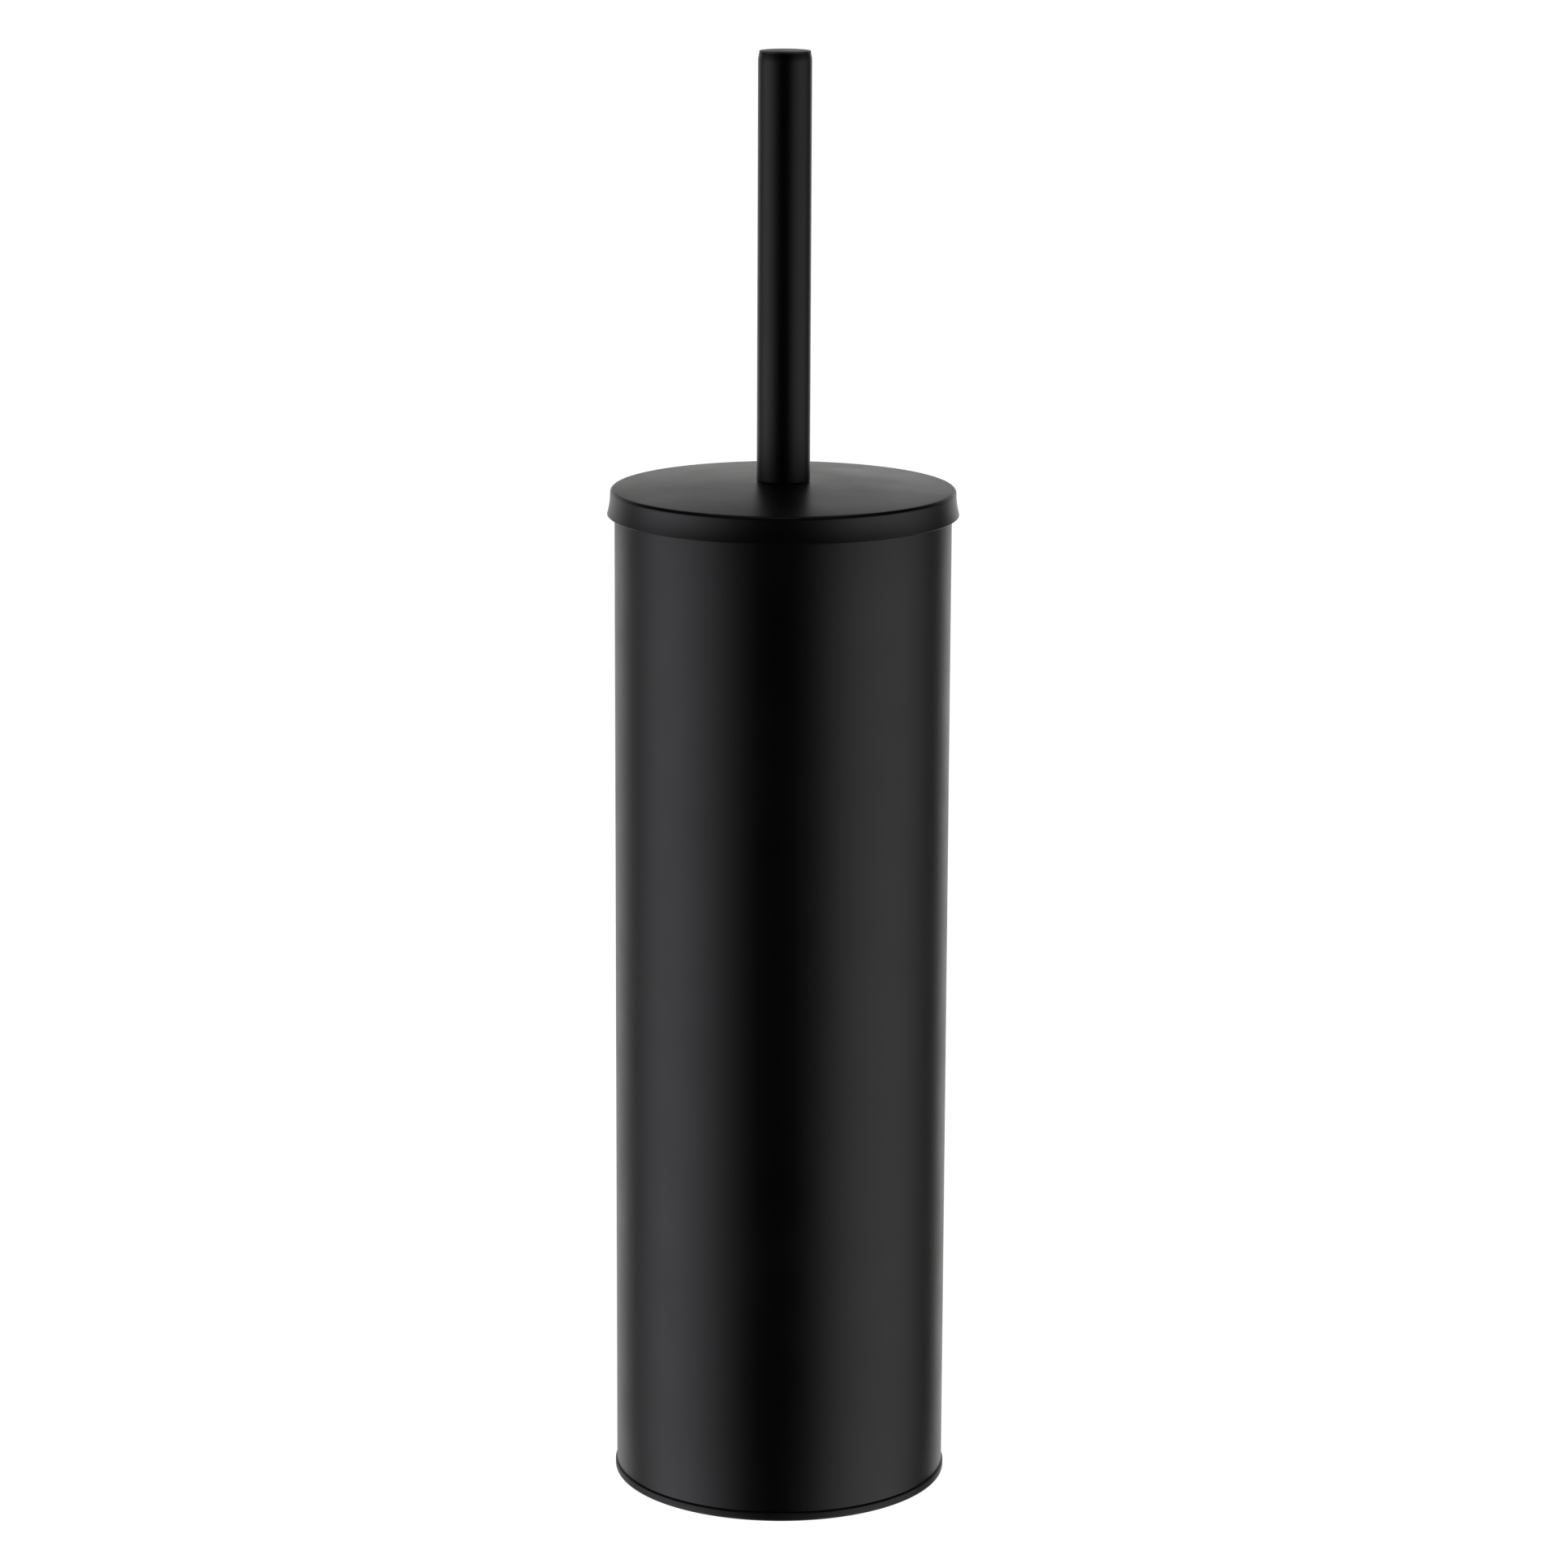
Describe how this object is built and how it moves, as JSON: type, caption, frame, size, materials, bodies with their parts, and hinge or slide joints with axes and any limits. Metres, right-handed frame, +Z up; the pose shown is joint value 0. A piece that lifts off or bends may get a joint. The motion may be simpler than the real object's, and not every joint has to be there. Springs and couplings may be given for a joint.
{
  "type": "toilet brush holder",
  "caption": "Free-standing coated steel tube on a moulded base, with a lift-out liner and a long-handled toilet brush whose domed lid closes the tube.",
  "frame": {"origin": "the middle of the underside, on the floor that the holder stands on", "axes": "+Z up along the common axis of the tube, the lid, the handle and the brush; -Y faces the front view; the body is round, so X and Y are free"},
  "size_m": [0.094, 0.094, 0.3907],
  "materials": {
    "coated_steel": "satin black powder coat with a fine even texture",
    "base_plastic": "matt black moulded plastic",
    "liner_plastic": "satin black moulded polypropylene",
    "soft_rubber": "soft matt black",
    "plain_steel": "bright zinc plated",
    "nylon": "natural nylon",
    "hub_plastic": "black moulded plastic",
    "bristle_nylon": "black crimped nylon filament"
  },
  "bodies": {
    "holder": {"body_tube": "coated_steel", "base_cap": "base_plastic", "nonslip_ring": "soft_rubber"},
    "liner": {"inner_liner": "liner_plastic"},
    "lid": {"lid_cover": "coated_steel", "lid_centring_ring": "base_plastic"},
    "brush": {"handle_tube": "coated_steel", "handle_end_cap": "coated_steel", "handle_insert": "nylon", "tie_stud": "plain_steel", "lid_bush": "nylon", "clamp_washer": "plain_steel", "stem_upper_insert": "nylon", "stem_tube": "coated_steel", "stem_thread_plug": "hub_plastic"},
    "head_washer": {"head_seal_washer": "soft_rubber"},
    "head": {"brush_hub": "hub_plastic", "bristle_row_1": "bristle_nylon", "bristle_row_2": "bristle_nylon", "bristle_row_3": "bristle_nylon", "bristle_row_4": "bristle_nylon", "bristle_row_5": "bristle_nylon", "bristle_row_6": "bristle_nylon", "bristle_row_7": "bristle_nylon", "bristle_row_8": "bristle_nylon", "bristle_nose_row": "bristle_nylon", "bristle_tip_tuft": "bristle_nylon"}
  },
  "joints": [
    {"name": "liner_lift", "type": "slide", "parent": "holder", "child": "liner", "axis": [0, 0, 1], "range_m": [0, 0.28]},
    {"name": "brush_lift", "type": "slide", "parent": "liner", "child": "lid", "axis": [0, 0, 1], "range_m": [0, 0.27]},
    {"name": "handle_turn", "type": "hinge", "parent": "lid", "child": "brush", "pos_m": [0, 0, 0.275], "axis": [0, 0, 1], "continuous": true},
    {"name": "head_unscrew", "type": "hinge", "parent": "brush", "child": "head_washer", "pos_m": [0, 0, 0.116], "axis": [0, 0, -1], "range_deg": [0, 1441]},
    {"name": "head_travel", "type": "slide", "parent": "head_washer", "child": "head", "axis": [0, 0, -1], "range_m": [0, 0.012]}
  ],
  "couplings": [
    {"joint": "head_unscrew", "follows": "head_travel", "rad_per_m": 2094.4}
  ]
}
